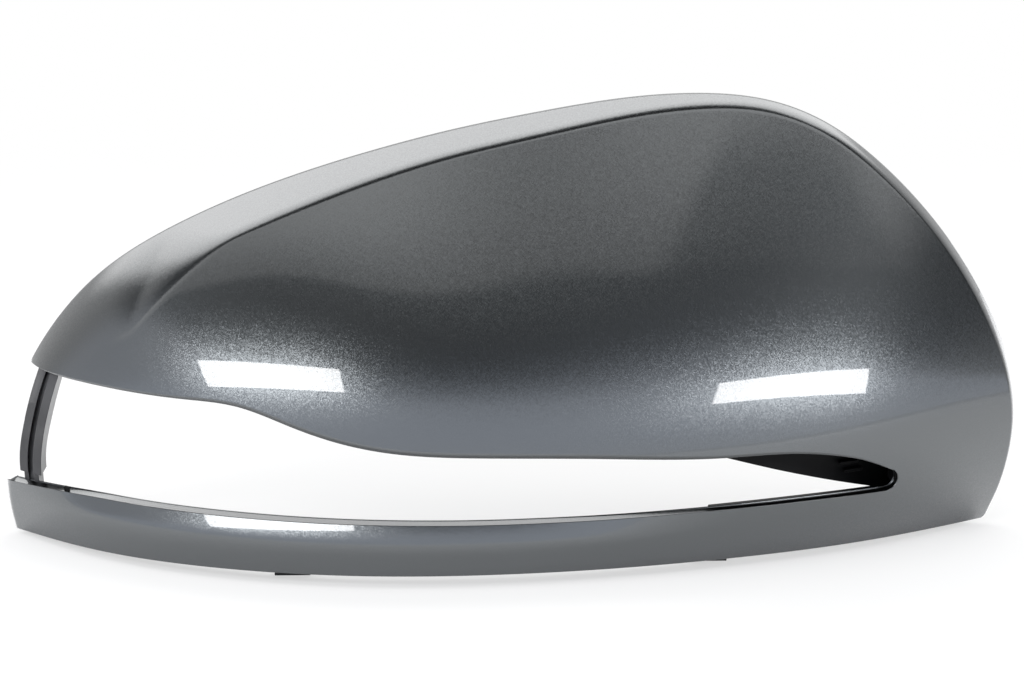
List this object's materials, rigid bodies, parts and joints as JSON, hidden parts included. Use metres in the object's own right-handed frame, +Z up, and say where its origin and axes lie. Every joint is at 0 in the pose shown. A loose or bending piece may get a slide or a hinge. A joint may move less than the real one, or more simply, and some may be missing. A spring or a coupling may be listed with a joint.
{
  "type": "door mirror housing cap",
  "caption": "Domed door mirror housing cap: thin painted shell, open at the rear, with a creased top edge and a long lamp slot above a lower strip.",
  "frame": {"origin": "on the floor, below the middle of the cap's box", "axes": "+X along the cap to the car's side, away from the pointed lamp end; -Y the domed front; +Y the open rear; +Z up"},
  "size_m": [0.24, 0.0529, 0.1038],
  "materials": {
    "painted_shell": "dark grey metallic paint under clear coat outside, black moulded plastic inside"
  },
  "bodies": {
    "root": {"mirror_cap": "painted_shell"}
  },
  "joints": []
}
